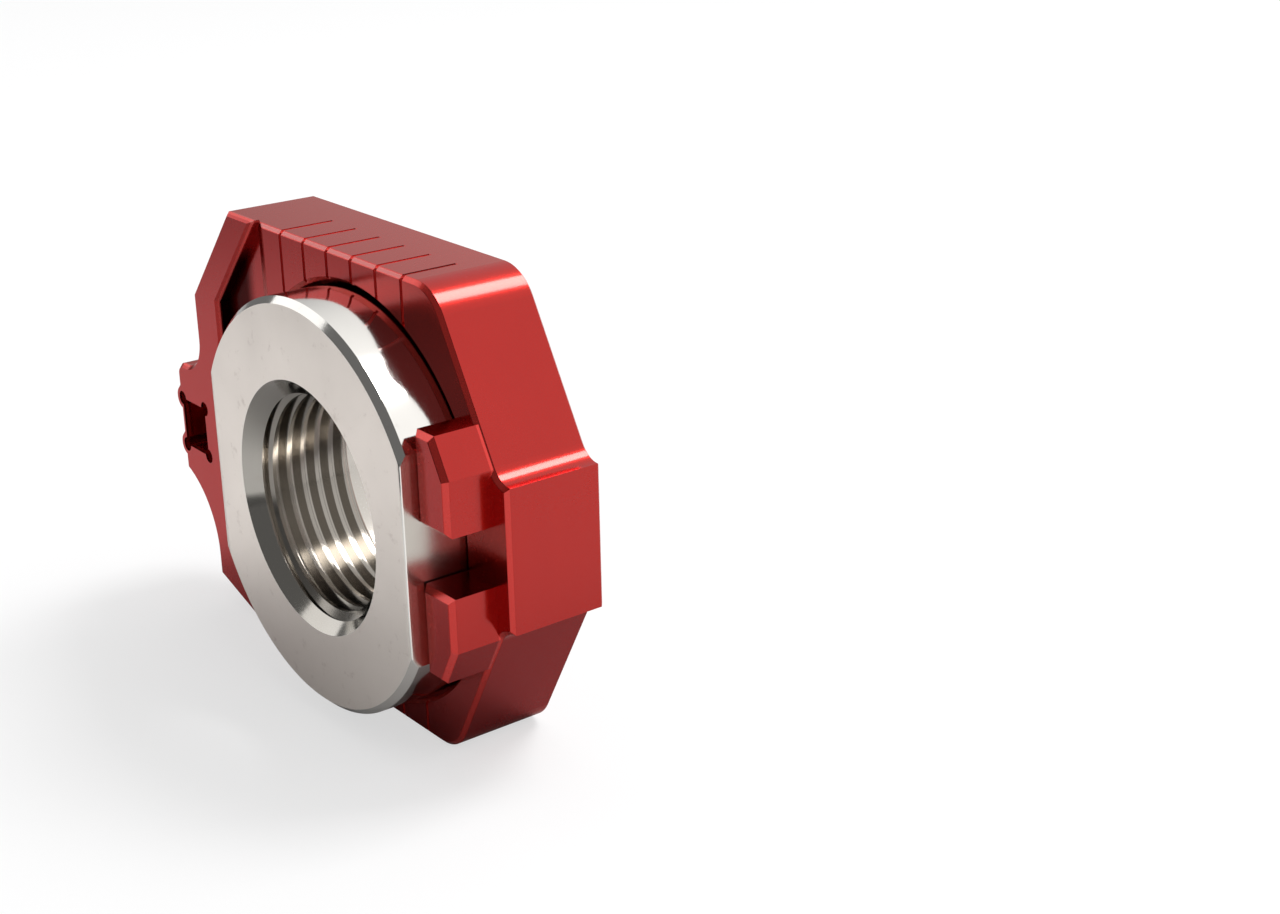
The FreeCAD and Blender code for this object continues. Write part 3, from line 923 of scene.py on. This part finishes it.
    def _tap(self) -> bpy.types.Object:
        """The tap: one tooth of the thread, screwed along the axis and closed at both ends.

        Returns:
            The tap.
        """
        tap = self._tooth(self.front - self.spare_turns * self.pitch)
        turns = math.ceil((self.back - self.front) / self.pitch) + 2 * self.spare_turns
        apply_modifier(tap, "SCREW", "Helix", axis="Y", angle=2 * math.pi, screw_offset=self.pitch,
                       steps=self.steps, render_steps=self.steps, iterations=turns,
                       use_merge_vertices=True, merge_threshold=MERGED)
        bpy.ops.object.mode_set(mode="EDIT")
        cut_off((0, self.front - 0.5 * self.pitch, 0), (0, -1.0, 0))
        cut_off((0, self.back + 0.5 * self.pitch, 0), (0, 1.0, 0))
        close_up()
        bpy.ops.object.mode_set(mode="OBJECT")
        return tap

    def _countersink(self, end: float, reach: float) -> bpy.types.Object:
        """The cone that opens one end of the thread, at 45 degrees.

        Args:
            end: Face of the nut.
            reach: Radius of the cone in that face.

        Returns:
            The cutting cone.
        """
        outward = 1.0 if end == self.back else -1.0
        depth = reach - self.cone_tip + self.cone_over
        deselect_all()
        bpy.ops.mesh.primitive_cone_add(
            vertices=self.segments, radius1=reach + self.cone_over, radius2=self.cone_tip, depth=depth,
            location=(0, end + outward * (self.cone_over - depth / 2), 0),
            rotation=(outward * math.pi / 2, 0, 0))
        cone = bpy.context.active_object
        bpy.ops.object.transform_apply(location=True, rotation=True, scale=True)
        return cone

    def _dress(self, nut: bpy.types.Object) -> None:
        """Gives each face of the nut the finish of its place.

        Args:
            nut: The finished nut.
        """
        nut.data.materials.clear()
        for finish in self.finishes:
            nut.data.materials.append(finish.material())
        for face in nut.data.polygons:
            face.material_index = self._slot(face.center, face.normal).value

    def _slot(self, centre: Vector, way: Vector) -> Slot:
        """The finish that a face gets.

        Args:
            centre: Middle of the face.
            way: The way that it faces.

        Returns:
            Its slot.
        """
        straight_on, slanted, in_face = 0.98, 0.01, 1e-5
        endwise = abs(way.y)
        from_end = min(centre.y - self.front, self.back - centre.y)
        inward = centre.x * way.x + centre.z * way.z < 0.0
        if abs(endwise - math.sqrt(0.5)) < slanted and inward and from_end < self.cone_depth:
            return Slot.CONE
        if endwise > straight_on:
            return Slot.FACE
        if math.hypot(centre.x, centre.z) < self.countersink - in_face:
            return Slot.THREAD
        if abs(way.x) > straight_on and abs(centre.x) > self.half_flats - in_face:
            return Slot.FLAT
        return Slot.RIM


@dataclass
class AxleBlock:
    """The red block, which is the CAD node itself with a better finish.

    Attributes:
        finish: Its one finish.
    """

    finish: RedAnodising = RedAnodising()

    def dress(self, nodes: dict[str, bpy.types.Object]) -> bpy.types.Object:
        """Gives the CAD node its finish.

        Args:
            nodes: CAD nodes by name.

        Returns:
            The dressed node.
        """
        block = nodes["axle_block"]
        block.data.materials.clear()
        block.data.materials.append(self.finish.material())
        return block


@dataclass(frozen=True)
class Lamp:
    """A soft square lamp that faces the object.

    Attributes:
        name: Name of the lamp.
        place: Where it hangs, in metres.
        side: Its side, in metres.
        power: Its power, in watts.
    """

    name: str
    place: Place
    side: float
    power: float

    def hang(self) -> None:
        """Adds the lamp to the scene."""
        light = bpy.data.lights.new(self.name, "AREA")
        light.shape = "SQUARE"
        light.size = self.side
        light.energy = self.power
        lamp = bpy.data.objects.new(self.name, light)
        bpy.context.scene.collection.objects.link(lamp)
        lamp.location = Vector(self.place)
        lamp.rotation_euler = (-lamp.location).to_track_quat("-Z", "Y").to_euler()


@dataclass(frozen=True)
class PictureCamera:
    """The camera at the picture's own angle.

    Attributes:
        eye: Where it stands, in metres.
        yaw: Way that it looks, round the upright axis from +x, in radians.
        pitch: How far it looks down, in radians.
        roll: How far it leans, in radians.
        focal_pixels: Focal length in the picture's pixels.
        width_pixels: Width of the picture in pixels.
        sensor: Width of the sensor in millimetres.
        clip: Nearest and farthest distance that it sees, in metres.
    """

    eye: Place = (151.8624 * MM, -96.0394 * MM, 67.9397 * MM)
    yaw: float = math.radians(141.9027)
    pitch: float = 0.35939
    roll: float = -0.01989
    focal_pixels: float = 2008.84
    width_pixels: float = 1280.0
    sensor: float = 36.0
    clip: tuple[float, float] = (0.01, 20.0)

    def build(self) -> None:
        """Makes the camera and gives the scene to it."""
        data = bpy.data.cameras.new("picture_camera")
        data.sensor_fit = "HORIZONTAL"
        data.sensor_width = self.sensor
        data.lens = self.focal_pixels / self.width_pixels * self.sensor
        data.clip_start, data.clip_end = self.clip
        camera = bpy.data.objects.new("picture_camera", data)
        bpy.context.scene.collection.objects.link(camera)
        flat = Vector((math.cos(self.yaw), math.sin(self.yaw), 0.0))
        right = Vector((math.sin(self.yaw), -math.cos(self.yaw), 0.0))
        look = flat * math.cos(self.pitch) - Vector((0, 0, math.sin(self.pitch)))
        up = right.cross(look)
        across = right * math.cos(self.roll) + up * math.sin(self.roll)
        above = up * math.cos(self.roll) - right * math.sin(self.roll)
        turn = Matrix((across, above, -look)).transposed().to_4x4()
        camera.matrix_world = Matrix.Translation(Vector(self.eye)) @ turn
        bpy.context.scene.camera = camera


@dataclass
class Studio:
    """Pale floor, soft light and the camera of the picture.

    Attributes:
        ground: Height of the floor, in metres.
        floor_side: Side of the floor, in metres.
        paper: Finish of the floor.
        lamps: A soft key overhead, a little behind the object, and a weak fill from the nut's side.
        room: The world round it all.
        camera: The picture's camera.
    """

    ground: float = -21.35 * MM
    floor_side: float = 6.0
    paper: PaleFloor = PaleFloor()
    lamps: Sequence[Lamp] = (
        Lamp("key", (0.13, 0.43, 0.73), 0.30, 4.8),
        Lamp("fill", (-0.78, -0.38, 0.40), 0.60, 1.5),
    )
    room: WhiteRoom = WhiteRoom()
    camera: PictureCamera = PictureCamera()

    def build(self) -> None:
        """Makes the floor, the lamps, the world and the camera."""
        self._floor()
        for lamp in self.lamps:
            lamp.hang()
        self.room.build()
        self.camera.build()
        bpy.context.scene.view_settings.view_transform = "Standard"

    def _floor(self) -> None:
        """Lays the floor under the object."""
        deselect_all()
        bpy.ops.mesh.primitive_plane_add(size=self.floor_side, location=(0, 0, self.ground))
        floor = bpy.context.active_object
        floor.name = "floor"
        bpy.ops.object.transform_apply(location=True, rotation=True, scale=True)
        floor.data.materials.append(self.paper.material())


def main() -> None:
    """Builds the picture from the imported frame."""
    logging.basicConfig(level=logging.INFO, format="%(message)s")
    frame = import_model()
    block = AxleBlock().dress(frame["nodes"])
    LOG.info("%s is dressed", block.name)
    nut = AxleNut().build()
    LOG.info("%s has %d faces", nut.name, len(nut.data.polygons))
    Studio().build()
    LOG.info("studio is set")


if __name__ == "__main__":
    main()
